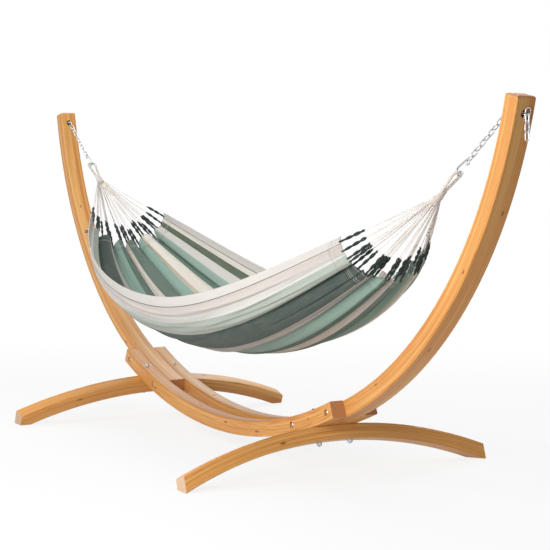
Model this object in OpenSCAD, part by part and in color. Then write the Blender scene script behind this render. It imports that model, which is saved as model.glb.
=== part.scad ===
// Hammock on a bent-wood stand. Millimetres, +Z up. The origin is on the floor, midway between
// the two arms, which stand at -X (left) and +X (right). The stand is symmetric, so every piece is
// drawn once on the +X side and mirrored.

/* [Curved beams] */
// Depth of arms and rails, measured across the curve
beam_t = 58; // [50:0.5:70]
// Width of each arm
arm_w = 70; // [56:0.5:90]
// Width of each rail beside the arms
rail_w = 54; // [40:0.5:70]
// Length of the rails along their curve
rail_length = 1625; // [1500:1:1760]
// Radius of the rails' centre line
rail_radius = 2010; // [1850:1:2300]
// Length of each arm along its curve
arm_length = 1670; // [1560:1:1760]
// Radius of the arms' centre line beyond the rails
arm_radius = 1425; // [1350:1:1600]
// Length of arm held between the rails
lap = 305; // [270:1:360]
// Rounding of the beams' long edges
edge_round = 5; // [2:0.5:9]
// Rounding of the arms' tips
tip_round = 10; // [4:0.5:16]

/* [Feet] */
// Length of each foot
foot_length = 1200; // [1050:1:1300]
// Width of each foot
foot_w = 60; // [50:0.5:80]
// Depth of each foot
foot_t = 52; // [44:0.5:64]
// Radius of a foot's centre line
foot_radius = 1540; // [1400:1:1750]
// Depth of the seat cut in a foot for the rails
foot_seat = 3; // [1:0.5:6]
// Height of a foot's end face above the floor
toe_h = 44; // [36:0.5:60]

/* [Bolts] */
// Thread size of all bolts
bolt_d = 10; // [8:0.5:12]
// Clearance of a bolt in its hole
bolt_gap = 0.25; // [0.15:0.05:0.6]
// Diameter of the domed heads
head_d = 17.5; // [15:0.5:19]
// Height of the domed heads
head_h = 6; // [4:0.5:8]
// Diameter of the washers
washer_d = 20; // [19.5:0.5:24]
// Thickness of the washers
washer_t = 2; // [1:0.25:3]
// Width of the nuts across their flats
nut_w = 16; // [14:0.5:17]
// Height of the thin nuts sunk in the back rail
lap_nut_h = 6; // [4:0.5:8]
// Height of the nuts under the feet
foot_nut_h = 9; // [7:0.5:12]
// Length of thread showing below a foot nut
thread_end = 4; // [1:0.5:8]
// Diameter of the holes that sink the lap bolts' ends
sink_d = 23; // [22:0.5:28]
// Depth of those holes
sink_depth = 9; // [8:0.5:14]
// Distance of the lap bolts from the ends of the lap
bolt_edge = 37; // [30:0.5:50]

/* [Chain] */
// Diameter of the hole near an arm's tip
hole_d = 25; // [23:0.5:30]
// Distance of that hole from the tip
hole_edge = 50; // [40:0.5:70]
// Wire of the chain
wire_d = 4; // [3.5:0.1:4.5]
// Pitch of the chain
link_pitch = 24.5; // [23.5:0.1:27]
// Outside width of a link
link_w = 18; // [17:0.1:19]
// Links between the arm and the hook
free_links = 10; // [8:2:12]
// Links that hang outside the arm
spare_links = 3; // [2:1:5]
// Slope of the chains below the horizontal
chain_slope = 38; // [35:0.5:41]
// Clearance between links
link_gap = 0.3; // [0.2:0.05:0.5]

/* [Snap hooks] */
// Wire of a snap hook
snap_wire = 4; // [3.5:0.1:4.5]
// Outside length of a snap hook
snap_length = 42; // [40:0.5:50]
// Outside width of a snap hook
snap_w = 21; // [20:0.5:22]
// Length of its spring gate from pin to tip
gate_length = 15; // [12:0.5:15]
// Diameter of the gate's pin
gate_pin_d = 1.6; // [1.4:0.1:1.8]
// Thickness of the tongue inside the gate's fork
tongue_t = 1.5; // [1.2:0.1:1.8]

/* [Hooks] */
// Wire of an open hook
hook_wire = 6; // [5:0.1:6.5]
// Inside radius of the hook's closed ring
ring_r = 5; // [4.8:0.1:6]
// Inside radius of the hook's bend
bend_r = 11; // [10.5:0.1:14]
// Inside length of a hook, ring to bend
hook_length = 62; // [56:0.5:80]
// Turn of the ring, from the shank round to its end
ring_turn = 270; // [200:1:272]
// Turn of the bend, from the shank round to its tip
bend_turn = 215; // [190:1:225]

/* [Rope eyes] */
// Thickness of the rope eye
rope_d = 18; // [16:0.5:19]
// Length of a rope eye from the hook's bend to the whipping
eye_length = 85; // [75:0.5:110]
// Diameter of the whipped neck
neck_d = 38; // [38:0.5:44]
// Length of the whipped neck
neck_length = 45; // [35:0.5:60]

/* [Suspension cords] */
// Number of cords and loops at each end
cord_count = 14; // [10:1:14]
// Thickness of a cord
cord_d = 2.2; // [1.6:0.1:2.3]
// Length of the middle cords and loops, neck to hem
cord_run = 350; // [335:1:365]
// Slope of the middle cords
cord_slope = 47; // [45:0.5:49]
// Length of the outermost cords and loops
side_run = 340; // [330:1:350]
// Slope of the outermost cords
side_slope = 24; // [22:0.5:26]
// Length of a hem loop
loop_length = 92; // [70:1:110]
// Thickness of a hem loop
loop_d = 7; // [5:0.1:8]
// Size of the cords' fan at the neck, as a share of the hem
fan_share = 0.103; // [0.1:0.001:0.106]

/* [Bed] */
// Width between the side edges at the middle
bed_w = 740; // [680:1:800]
// Width between the side edges at the hems
hem_w = 330; // [310:1:350]
// Sag of the side edges from hem to middle
edge_sag = 260; // [230:1:290]
// Sag of the bed's middle line from hem to middle
bed_sag = 350; // [320:1:380]
// Number of gathered folds across the bed
fold_count = 8; // [6:1:9]
// Depth of the folds at the hems, each way
fold_depth = 16; // [8:0.5:17]
// Thickness of the woven cloth with its gathers
cloth_t = 3; // [2.5:0.1:4]
// Thickness of the side borders
border_t = 4; // [3:0.1:5]
// Width of the side borders
border_w = 52; // [40:1:70]
// Thickness of the end hems
hem_t = 6; // [5:0.1:7]
// Length of the end hems
hem_length = 42; // [30:1:55]
// Gap along a seam
seam_gap = 0.4; // [0.3:0.05:0.6]
// Length of the side tab along its border
tab_w = 26; // [16:1:34]
// Width of the side tab outwards
tab_reach = 15; // [10:1:20]
// Thickness of the side tab
tab_thick = 1.6; // [1:0.1:2.5]

/* [Hidden] */

$fn = 48;
curve_fn = 360;  // facets of the large beam curves
left = -1;
right = 1;
deg = 180 / PI;
fit_gap = 0.05;  // seat of a flat washer on a curved face
big = 4000;
over = 1;  // how far a cutter runs past the face it cuts, or a shank into its head

// where two stretches of a bent beam, wire or rope meet, one is a hair thinner and runs a little way
// into the other, so that each pair meets squarely
thin = 0.05;
sunk = 0.4;

// --- the stand's curve, by length along it from the middle of the rails ---
rail_half = rail_length / 2;
rail_end_a = rail_half / rail_radius * deg;
tip_s = rail_half - lap + arm_length;
hole_s = tip_s - hole_edge;
foot_s = rail_half - lap / 2;
lap_bolt_s = [rail_half - lap + bolt_edge, rail_half - bolt_edge];

function beam_a(s) = s < rail_half ? s / rail_radius * deg : rail_end_a + (s - rail_half) / arm_radius * deg;

// The foot's end face reaches toe_h above the floor, which sets how high the rails lie
foot_a = beam_a(foot_s);
foot_centre = foot_t / 2 + beam_t / 2 - foot_seat + foot_radius;
toe_drop = foot_centre - sqrt(pow(foot_radius + foot_t / 2, 2) - pow(foot_length / 2, 2));
rail_z = toe_h + toe_drop * cos(foot_a) - rail_radius * (1 - cos(foot_a));

rail_centre = [0, rail_z + rail_radius];
arm_centre = rail_centre + (rail_radius - arm_radius) * [sin(rail_end_a), -cos(rail_end_a)];
function beam_xz(s) =
    let (a = beam_a(s))
    s < rail_half
        ? rail_centre + rail_radius * [sin(a), -cos(a)]
        : arm_centre + arm_radius * [sin(a), -cos(a)];

stack_w = arm_w + 2 * rail_w;
foot_bolt_y = arm_w / 2 + rail_w / 2;

// --- the chain through an arm: its points are [x, z] ---
anchor_links = 3;
hole_xz = beam_xz(hole_s);
hole_a = beam_a(hole_s);
outward = [sin(hole_a), -cos(hole_a)];
link_bend_r = (link_w - wire_d) / 2;
snap_plane = beam_t / 2 + link_gap + snap_wire / 2;
spare_drop = link_bend_r - wire_d - link_gap / 2;  // from the wire that holds it to a link's bend
spare_plane = snap_plane + snap_wire / 2 + 2 * link_gap + wire_d / 2 + link_bend_r + spare_drop * outward[1];
anchor_end = spare_plane - wire_d / 2;
pivot_off = anchor_links * link_pitch - anchor_end;
pivot_xz = hole_xz - pivot_off * outward;
spare_xz = hole_xz + spare_plane * outward;
chain_length = free_links * link_pitch;
chain_dir = [-cos(chain_slope), -sin(chain_slope)];

// the hammock's first link hangs on the wire at the anchor chain's inner end, with room to swing
swing_gap = 0.6;
link_end = (link_gap + wire_d) / 2;  // from a link's inner end to the middle of its wire
catch_xz = pivot_xz - link_end * outward;
chain_xz = catch_xz - (wire_d + swing_gap - link_end) * chain_dir;

// --- distances along the chain's own line, from its first link ---
ring_centre = chain_length + ring_r;
bend_centre = chain_length + hook_length - bend_r;
bend_line_r = bend_r + hook_wire / 2;
ring_line_r = ring_r + hook_wire / 2;
eye_centre = chain_length + hook_length + hook_wire / 2;
eye_line_r = hook_wire / 2 + link_gap + rope_d / 2;
neck_start = chain_length + hook_length + eye_length;
neck_end = neck_start + neck_length;
neck_xz = chain_xz + neck_end * chain_dir;

// --- the bed: a sheet over t, along (-1 to 1), and v, across (-1 to 1) ---
hem_keel = neck_xz - cord_run * [cos(cord_slope), sin(cord_slope)];
side_reach = sqrt(side_run * side_run - hem_w * hem_w / 4);
hem_corner = neck_xz - side_reach * [cos(side_slope), sin(side_slope)];
keel_low = hem_keel[1] - bed_sag;
edge_low = hem_corner[1] - edge_sag;
gather = 3;  // how late the bed narrows towards its hems
along_n = 26;  // facets of the bed along its length
across_n = 6 * fold_count;  // and across it, between the borders
hem_n = 7 * fold_count;  // and across an end hem
fold_growth = 2;  // how late the folds deepen towards the hems
fold_round = 1.15;  // how much broader a fold's crown is than its crease
fold_shift = 0.15;  // how far the creases stray from even places, in widths of a fold
fold_turns = 500;  // and how fast that changes across the bed
calm_from = 0.5;  // the folds die away between this v
calm_to = 0.8;  // and this one, short of the borders

function bed_point(t, v) =
    let (
        side = sin(90 * v),
        depth = cos(90 * v),
        x = hem_keel[0] + (hem_corner[0] - hem_keel[0]) * side * side,
        half = (bed_w + (hem_w - bed_w) * pow(abs(t), gather)) / 2,
        keel = keel_low + (hem_keel[1] - keel_low) * t * t,
        edge = edge_low + (hem_corner[1] - edge_low) * t * t
    )
    [x * t, half * side, edge - (edge - keel) * depth];

function unit(a) = a / norm(a);
probe = 0.002;  // step for a sheet's slope
function bed_normal(t, v) = unit(cross(
    bed_point(t + probe, v) - bed_point(t - probe, v),
    bed_point(t, v + probe) - bed_point(t, v - probe)
));

function ease(x, from, to) = let (s = min(1, max(0, (x - from) / (to - from)))) s * s * (3 - 2 * s);

// from -1 in a crease to 1 on a fold's crown
function fold_wave(v) =
    let (place = fold_count * (v + 1) / 2 + fold_shift * sin(fold_turns * v))
    (2 * pow(sin(180 * (place - floor(place))), fold_round) - 1) * (1 - ease(abs(v), calm_from, calm_to));

// the crowns face down and out at the right end, and up and in at the left one
function cloth_point(t, v) =
    bed_point(t, v) - sign(t) * fold_depth * pow(abs(t), fold_growth) * fold_wave(v) * bed_normal(t, v);
function cloth_normal(t, v) = unit(cross(
    cloth_point(t + probe, v) - cloth_point(t - probe, v),
    cloth_point(t, v + probe) - cloth_point(t, v - probe)
));

mid_depth = edge_low - keel_low;
half_arc = PI / 2 * sqrt((bed_w * bed_w / 4 + mid_depth * mid_depth) / 2);
border_v = 1 - border_w / half_arc;
hem_t0 = 1 - hem_length / norm([hem_keel[0], hem_keel[1] - keel_low]);
gap_v = seam_gap / half_arc;
gap_t = seam_gap / hem_keel[0];

// each end's loops and cords are worked out as if it were the right one
function on_right(p, side) = [side * p[0], p[1], p[2]];
loop_step = 2 / cord_count;
function loop_v(i) = -1 + loop_step * (i + 0.5);
function hem_point(v, side) = on_right(cloth_point(side, v), side);
hem_middle_z = (hem_keel[1] + hem_corner[1]) / 2;
neck_point = [neck_xz[0], 0, neck_xz[1]];
neck_axis = [chain_dir[0], 0, chain_dir[1]];
function fan_point(i) =
    let (h = bed_point(1, loop_v(i)), across = [0, h[1], h[2] - hem_middle_z] * fan_share)
    neck_point + across - (across * neck_axis) * neck_axis + (cord_d / 4 + link_gap) * neck_axis;
function loop_dir(i, side) = unit(fan_point(i) - hem_point(loop_v(i), side));

// a loop's flat end clears the hem's end face, which it meets nearly squarely
function hem_out(v, side) = unit(cross(
    hem_point(v + probe, side) - hem_point(v - probe, side),
    on_right(cloth_normal(side, v), side)
));
function loop_start(i, side) =
    let (square_to = loop_dir(i, side) * hem_out(loop_v(i), side))
    hem_point(loop_v(i), side)
        + (seam_gap + loop_d / 2 * sqrt(1 - square_to * square_to)) / square_to * loop_dir(i, side);
function loop_end(i, side) = hem_point(loop_v(i), side) + loop_length * loop_dir(i, side);

// ---------- helpers ----------
module on_side(side) {
    if (side > 0) children();
    else mirror([1, 0, 0]) children();
}

// local X runs up the beam, local Z points to the inside of its curve
module on_beam(s) {
    p = beam_xz(s);
    translate([p[0], 0, p[1]]) rotate([0, -beam_a(s), 0]) children();
}

// local X runs along the chain towards the hammock
module on_chain(along) {
    p = chain_xz + along * chain_dir;
    translate([p[0], 0, p[1]]) rotate([0, -chain_slope, 0]) rotate([0, 0, 180]) children();
}

// local X runs out through the hole from the pivot
module on_hole(along) {
    p = pivot_xz + along * outward;
    translate([p[0], 0, p[1]]) rotate([0, 90 - hole_a, 0]) children();
}

module section(w, t) {
    r = edge_round;
    square([t - 2 * r, w], center = true);
    square([t, w - 2 * r], center = true);
    for (x = [-1, 1], y = [-1, 1]) translate([x * (t / 2 - r), y * (w / 2 - r)]) circle(r);
}

// a stretch of beam in the XZ plane, between two angles up from its lowest point
module bent_beam(centre, radius, from, to) {
    translate([centre[0], 0, centre[1]]) rotate([90, 0, 0])
        rotate_extrude(angle = to - from, start = from - 90, $fn = curve_fn)
            translate([radius, 0]) children();
}

module bolt_hole(d, length) {
    cylinder(d = d, h = length, center = true);
}

module dome_head(d, h) {
    cap_r = (d * d / 4 + h * h) / (2 * h);
    intersection() {
        cylinder(d = d, h = h);
        translate([0, 0, h - cap_r]) sphere(cap_r);
    }
}

module hex_socket() {
    cylinder(d = socket_w / cos(30), h = head_h, $fn = 6);
}

module hex_nut(w, h, bore) {
    difference() {
        cylinder(d = w / cos(30), h = h, $fn = 6);
        translate([0, 0, -over]) cylinder(d = bore, h = h + 2 * over);
    }
}

module washer(bore) {
    difference() {
        cylinder(d = washer_d, h = washer_t);
        translate([0, 0, -over]) cylinder(d = bore, h = washer_t + 2 * over);
    }
}

hole_for_bolt = bolt_d + 2 * bolt_gap;
thread_bore = bolt_d + 2 * fit_gap;
socket_w = bolt_d * 0.6;

module straight_wire(d, length) {
    translate([0, 0, -sunk]) cylinder(d = d - 2 * thin, h = length + 2 * sunk);
}

module wire_bend(r, d, turn, start) {
    rotate_extrude(angle = turn, start = start) translate([r, 0]) circle(d = d);
}

// a chain link from x = 0 to x = link_pitch, measured between its inner ends
module link() {
    mid = link_pitch / 2;
    straight = link_pitch + link_gap + wire_d - 2 * link_bend_r;
    for (e = [-1, 1]) {
        translate([mid + e * straight / 2, 0, 0]) wire_bend(link_bend_r, wire_d, 180, e < 0 ? 90 : -90);
        translate([mid - straight / 2, e * link_bend_r, 0]) rotate([0, 90, 0])
            straight_wire(wire_d, straight);
    }
}

// links in a row, each turned a quarter from the last
module chain(count, first_turn) {
    for (i = [0:count - 1]) translate([i * link_pitch, 0, 0]) rotate([first_turn + 90 * i, 0, 0]) link();
}

// a round bar between two points
module bar(from, to, d) {
    v = to - from;
    translate(from) rotate([0, acos(v[2] / norm(v)), atan2(v[1], v[0])]) cylinder(d = d, h = norm(v));
}

// a closed sheet over part of the bed
module bed_sheet(t0, t1, v0, v1, nt, nv, thick) {
    row = nv + 1;
    layer = row * (nt + 1);
    points = [
        for (side = [-1, 1], i = [0:nt], j = [0:nv])
            let (t = t0 + (t1 - t0) * i / nt, v = v0 + (v1 - v0) * j / nv)
            cloth_point(t, v) + side * thick / 2 * cloth_normal(t, v)
    ];
    low = [for (i = [0:nt - 1], j = [0:nv - 1]) let (a = i * row + j) [a, a + 1, a + row + 1, a + row]];
    high = [for (f = low) [for (k = [3:-1:0]) f[k] + layer]];
    start = [for (j = [0:nv - 1]) [j + 1, j, j + layer, j + 1 + layer]];
    finish = [for (j = [0:nv - 1]) let (a = nt * row + j) [a, a + 1, a + 1 + layer, a + layer]];
    near = [for (i = [0:nt - 1]) let (a = i * row) [a, a + row, a + row + layer, a + layer]];
    far = [for (i = [0:nt - 1]) let (a = i * row + nv) [a + row, a, a + layer, a + row + layer]];
    quads = concat(low, high, start, finish, near, far);
    faces = [for (q = quads) each [[q[0], q[2], q[1]], [q[0], q[3], q[2]]]];
    polyhedron(points, faces);
}

// ---------- the stand ----------
// what rounds one edge at an arm's tip: a corner block less its rounding bar, along Y
module edge_cutter(length) {
    difference() {
        translate([0, -length / 2, 0]) cube([tip_round + over, length, tip_round + over]);
        rotate([90, 0, 0]) cylinder(r = tip_round, h = length + 2 * over, center = true);
    }
}

module arm(side) {
    color("peru") on_side(side) difference() {
        union() {
            bent_beam(rail_centre, rail_radius, beam_a(rail_half - lap), rail_end_a) section(arm_w, beam_t);
            bent_beam(arm_centre, arm_radius, rail_end_a - sunk / arm_radius * deg, beam_a(tip_s))
                section(arm_w - 2 * thin, beam_t - 2 * thin);
        }
        on_beam(hole_s) bolt_hole(hole_d, 2 * beam_t);
        for (s = lap_bolt_s) on_beam(s) rotate([90, 0, 0]) bolt_hole(hole_for_bolt, 2 * arm_w);
        on_beam(tip_s) {
            for (m = [0, 1]) mirror([0, 0, m])
                translate([-tip_round, 0, beam_t / 2 - tip_round]) edge_cutter(2 * arm_w);
            for (m = [0, 1]) mirror([0, m, 0])
                translate([-tip_round, arm_w / 2 - tip_round, 0]) rotate([-90, 0, 0]) edge_cutter(2 * arm_w);
        }
    }
}

// the rails' outer faces sink the bolts' ends; face is -1 for the front rail and +1 for the back
module rail(face) {
    color("peru") difference() {
        translate([0, face * (arm_w + rail_w) / 2, 0])
            bent_beam(rail_centre, rail_radius, -rail_end_a, rail_end_a) section(rail_w, beam_t);
        for (side = [left, right]) on_side(side) {
            for (s = lap_bolt_s) on_beam(s) {
                rotate([90, 0, 0]) bolt_hole(hole_for_bolt, 2 * stack_w);
                translate([0, face * stack_w / 2, 0]) rotate([90, 0, 0]) bolt_hole(sink_d, 2 * sink_depth);
            }
            on_beam(foot_s) translate([0, face * foot_bolt_y, 0]) bolt_hole(hole_for_bolt, 2 * beam_t);
        }
    }
}

spot_r = washer_d / 2 + 1;  // radius of the flat under each of a foot's washers
seat_a = 3;                 // turn of the rails' curve, each way, that cuts the seat
foot_spare_a = 2;           // turn of a foot's curve past each end face
// how far the foot's underside lies below the rails' centre line, beside a bolt
spot_z = foot_centre - sqrt(pow(foot_radius - foot_t / 2, 2) - pow(foot_bolt_y - spot_r, 2));

module foot(side) {
    reach = asin(foot_length / 2 / (foot_radius - foot_t / 2)) + foot_spare_a;
    color("peru") on_side(side) difference() {
        intersection() {
            on_beam(foot_s) translate([0, 0, -foot_centre]) rotate([90, 0, 90])
                rotate_extrude(angle = 2 * reach, start = 90 - reach, $fn = curve_fn)
                    translate([foot_radius, 0]) section(foot_w, foot_t);
            translate([0, -foot_length / 2, 0]) cube([big, foot_length, big]);
        }
        // the seat: a band as wide as the rails and the arm between them
        bent_beam(rail_centre, rail_radius, foot_a - seat_a, foot_a + seat_a)
            square([beam_t, stack_w + seam_gap], center = true);
        on_beam(foot_s) for (y = [-1, 1]) translate([0, y * foot_bolt_y, 0]) {
            translate([0, 0, -foot_t]) bolt_hole(hole_for_bolt, 3 * foot_t);
            translate([0, 0, -spot_z - foot_t]) cylinder(r = spot_r, h = foot_t);
        }
    }
}

// ---------- fasteners ----------
lap_seat = stack_w / 2 - sink_depth;  // the sunk washers' seats, from the middle

module lap_bolt() {
    rotate([90, 0, 0]) difference() {
        union() {
            translate([0, 0, lap_seat + washer_t]) dome_head(head_d, head_h);
            translate([0, 0, -lap_seat - washer_t - lap_nut_h])
                cylinder(d = bolt_d, h = 2 * (lap_seat + washer_t) + lap_nut_h + over);
        }
        translate([0, 0, lap_seat + washer_t + head_h / 2]) hex_socket();
    }
}

module at_lap_bolts() {
    for (side = [left, right], s = lap_bolt_s) on_side(side) on_beam(s) children();
}

module lap_bolts() {
    color("silver") at_lap_bolts() lap_bolt();
}

module lap_washers() {
    color("silver") at_lap_bolts() for (m = [0, 1]) mirror([0, m, 0])
        translate([0, -lap_seat, 0]) rotate([90, 0, 0]) washer(hole_for_bolt);
}

module lap_nuts() {
    color("silver") at_lap_bolts()
        translate([0, lap_seat + washer_t, 0]) rotate([-90, 0, 0]) hex_nut(nut_w, lap_nut_h, thread_bore);
}

module at_foot_bolts() {
    for (side = [left, right], y = [-1, 1]) on_side(side) on_beam(foot_s)
        translate([0, y * foot_bolt_y, 0]) children();
}

top_seat = beam_t / 2 + fit_gap;
nut_top = -spot_z - washer_t;

module foot_bolts() {
    color("silver") at_foot_bolts() difference() {
        union() {
            translate([0, 0, top_seat + washer_t]) dome_head(head_d, head_h);
            translate([0, 0, nut_top - foot_nut_h - thread_end])
                cylinder(d = bolt_d, h = top_seat + washer_t - nut_top + foot_nut_h + thread_end + over);
        }
        translate([0, 0, top_seat + washer_t + head_h / 2]) hex_socket();
    }
}

module foot_washers() {
    color("silver") at_foot_bolts() {
        translate([0, 0, top_seat]) washer(hole_for_bolt);
        translate([0, 0, nut_top]) washer(hole_for_bolt);
    }
}

module foot_nuts() {
    color("silver") at_foot_bolts()
        translate([0, 0, nut_top - foot_nut_h]) hex_nut(nut_w, foot_nut_h, thread_bore);
}

// ---------- chain, snap hook and spare links at an arm ----------
module anchor_chain(side) {
    color("silver") on_side(side) on_hole(0) chain(anchor_links, 0);
}

module spare_chain(side) {
    color("silver") on_side(side) translate([spare_xz[0], 0, spare_xz[1] + wire_d / 2]) rotate([0, 90, 0])
        chain(spare_links, 90);
}

// local X runs up the arm, and the snap hook lies flat across the hole's outer mouth
module on_snap(side) {
    on_side(side) on_beam(hole_s) translate([0, 0, -snap_plane]) children();
}

snap_line_r = (snap_w - snap_wire) / 2;
snap_half = (snap_length - snap_w) / 2;
gate_y = 2 * snap_line_r;
gate_slim = 0.4;  // how much slimmer the gate is than the wire
gate_d = snap_wire - gate_slim;
pin_bore = gate_pin_d + 2 * fit_gap;
fork_gap = 0.15;  // each side of the tongue
gate_gap = 0.4;   // at the gate's two ends
shoulder = 1;     // round bar left above the gate
gate_pin_x = snap_half - shoulder - gate_gap - gate_d / 2;
gate_tip_x = gate_pin_x - gate_length;

module along_gate(from, to, d) {
    translate([from, gate_y, 0]) rotate([0, 90, 0]) cylinder(d = d, h = to - from);
}

module snap_hook(side) {
    color("silver") on_snap(side) difference() {
        union() {
            translate([-snap_half, 0, 0]) rotate([0, 90, 0]) straight_wire(snap_wire, 2 * snap_half);
            for (e = [-1, 1]) translate([e * snap_half, snap_line_r, 0])
                wire_bend(snap_line_r, snap_wire, 180, e < 0 ? 90 : -90);
            along_gate(-snap_half - sunk, gate_tip_x - gate_gap, snap_wire - 2 * thin);
            along_gate(snap_half - shoulder, snap_half + sunk, snap_wire - 2 * thin);
            translate([gate_pin_x - gate_pin_d, gate_y - gate_pin_d, -tongue_t / 2])
                cube([snap_half - shoulder / 2 - gate_pin_x + gate_pin_d, 2 * gate_pin_d, tongue_t]);
        }
        translate([gate_pin_x, gate_y, 0]) bolt_hole(pin_bore, 2 * snap_wire);
    }
}

module snap_gate(side) {
    color("silver") on_snap(side) difference() {
        union() {
            along_gate(gate_tip_x, gate_pin_x, gate_d);
            translate([gate_pin_x, gate_y, 0]) sphere(d = gate_d);
        }
        translate([gate_pin_x - 3 * gate_pin_d, gate_y - snap_wire, -tongue_t / 2 - fork_gap])
            cube([6 * gate_pin_d, 2 * snap_wire, tongue_t + 2 * fork_gap]);
        translate([gate_pin_x, gate_y, 0]) bolt_hole(pin_bore, 2 * snap_wire);
    }
}

module snap_pins() {
    color("silver") for (side = [left, right]) on_snap(side)
        translate([gate_pin_x, gate_y, 0]) cylinder(d = gate_pin_d, h = gate_d - fork_gap, center = true);
}

// ---------- what swings ----------
module free_chain(side) {
    color("silver") on_side(side) on_chain(0) chain(free_links, 90);
}

shank_tilt = asin((bend_line_r - ring_line_r) / (bend_centre - ring_centre));
tip_ball = 1.5;  // how much wider than the wire the hook's tip is

// the hook lies in the XZ plane: a ring bent round, a straight shank, and an open bend
module hook(side) {
    shank_a = 90 + shank_tilt;
    tip_a = shank_a - bend_turn;
    shank_length = (bend_centre - ring_centre) * cos(shank_tilt);
    color("silver") on_side(side) on_chain(0) {
        translate([ring_centre, 0, 0]) rotate([90, 0, 0])
            wire_bend(ring_line_r, hook_wire, ring_turn, shank_a);
        translate([ring_centre, 0, 0]) rotate([0, -shank_a, 0]) translate([ring_line_r, 0, -shank_length])
            straight_wire(hook_wire, shank_length);
        translate([bend_centre, 0, 0]) rotate([90, 0, 0]) wire_bend(bend_line_r, hook_wire, bend_turn, tip_a);
        translate([bend_centre + bend_line_r * cos(tip_a), 0, bend_line_r * sin(tip_a)])
            sphere(d = hook_wire + tip_ball);
    }
}

leg_gap = 0.2;  // between the rope's two legs at the whipping, each side of the middle
leg_run = neck_start - eye_centre;
leg_tilt = asin((eye_line_r - rope_d / 2 - leg_gap) / leg_run);
leg_length = leg_run * cos(leg_tilt) - rope_d / 2 * tan(leg_tilt) - leg_gap;

// the rope eye lies across the hook: half a turn round its bend, and two legs to the whipping
module rope_eye(side) {
    color("ivory") on_side(side) on_chain(eye_centre) {
        wire_bend(eye_line_r, rope_d, 180 + 2 * leg_tilt, 90 - leg_tilt);
        for (m = [0, 1]) mirror([0, m, 0]) rotate([0, 0, -leg_tilt]) translate([0, eye_line_r, 0])
            rotate([0, 90, 0]) straight_wire(rope_d, leg_length - sunk);
    }
}

module neck_whipping(side) {
    color("ivory") on_side(side) on_chain(neck_start) rotate([0, 90, 0])
        cylinder(d = neck_d, h = neck_length);
}

module suspension_cords(side) {
    color("ivory") on_side(side) for (i = [0:cord_count - 1])
        bar(loop_end(i, side), fan_point(i), cord_d);
}

module hem_loops(side) {
    color("darkslategray") on_side(side) for (i = [0:cord_count - 1])
        bar(loop_start(i, side), loop_end(i, side), loop_d);
}

module end_hem(side) {
    start = hem_t0 + gap_t;
    color("darkseagreen") bed_sheet(side > 0 ? start : -1, side > 0 ? 1 : -start, -1, 1, 2, hem_n, hem_t);
}

module side_border(v0, v1) {
    color("ivory") bed_sheet(-hem_t0, hem_t0, v0, v1, along_n, 2, border_t);
}

module bed_cloth() {
    v = border_v - gap_v;
    color("darkseagreen") bed_sheet(-hem_t0, hem_t0, -v, v, along_n, across_n, cloth_t);
}

tab_place = 0.9;  // the tab's place along the border, from the middle to the left hem

// the tab stands out from the front border
module side_tab() {
    t = tab_place * hem_t0;
    edge = bed_point(-t, -1);
    ahead = bed_point(-t + probe, -1) - edge;
    color("dimgray") translate([edge[0], edge[1] - border_t / 2 - seam_gap, edge[2]])
        rotate([0, -atan2(ahead[2], norm([ahead[0], ahead[1]])), atan2(ahead[1], ahead[0])])
            translate([-tab_w / 2, -tab_reach, -2 * tab_thick]) cube([tab_w, tab_reach, tab_thick]);
}

arm(left);  // arm_left
arm(right);  // arm_right
rail(-1);  // rail_front
rail(1);  // rail_back
foot(left);  // foot_left
foot(right);  // foot_right
lap_bolts();
lap_washers();
lap_nuts();
foot_bolts();
foot_washers();
foot_nuts();
anchor_chain(left);  // anchor_chain_left
anchor_chain(right);  // anchor_chain_right
snap_hook(left);  // snap_hook_left
snap_hook(right);  // snap_hook_right
snap_pins();
snap_gate(left);  // snap_gate_left
snap_gate(right);  // snap_gate_right
spare_chain(left);  // spare_chain_left
spare_chain(right);  // spare_chain_right
free_chain(left);  // chain_left
free_chain(right);  // chain_right
hook(left);  // hook_left
hook(right);  // hook_right
rope_eye(left);  // rope_eye_left
rope_eye(right);  // rope_eye_right
neck_whipping(left);  // neck_whipping_left
neck_whipping(right);  // neck_whipping_right
suspension_cords(left);  // suspension_cords_left
suspension_cords(right);  // suspension_cords_right
hem_loops(left);  // hem_loops_left
hem_loops(right);  // hem_loops_right
end_hem(left);  // end_hem_left
end_hem(right);  // end_hem_right
side_border(-1, -border_v);  // side_border_front
side_border(border_v, 1);  // side_border_back
bed_cloth();
side_tab();
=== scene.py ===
import math
import random

import bmesh
import bpy
from mathutils import Matrix, Vector


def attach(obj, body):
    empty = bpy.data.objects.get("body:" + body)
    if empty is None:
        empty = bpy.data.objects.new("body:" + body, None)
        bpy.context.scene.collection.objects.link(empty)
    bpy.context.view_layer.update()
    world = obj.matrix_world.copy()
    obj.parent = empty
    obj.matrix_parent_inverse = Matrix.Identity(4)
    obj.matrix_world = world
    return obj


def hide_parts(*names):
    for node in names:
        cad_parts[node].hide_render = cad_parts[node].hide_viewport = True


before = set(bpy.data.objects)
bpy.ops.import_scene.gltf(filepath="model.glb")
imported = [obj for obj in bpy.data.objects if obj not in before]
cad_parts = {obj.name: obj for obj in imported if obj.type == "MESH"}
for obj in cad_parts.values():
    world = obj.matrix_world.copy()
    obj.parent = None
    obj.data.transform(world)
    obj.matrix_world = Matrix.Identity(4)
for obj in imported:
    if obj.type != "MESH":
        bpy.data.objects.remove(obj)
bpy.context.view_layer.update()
random.seed(7)

# The stand's curve, in metres, as its beams are bent.
beams = {
    "depth": 0.058,  # of arms and rails, across the curve
    "railLength": 1.625,
    "railRadius": 2.010,
    "armLength": 1.670,
    "armRadius": 1.425,
    "lap": 0.305,  # of an arm between the rails
    "footLength": 1.200,
    "footDepth": 0.052,
    "footRadius": 1.540,
    "footSeat": 0.003,
    "toeHeight": 0.044,
    "holeEdge": 0.050,
}

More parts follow.
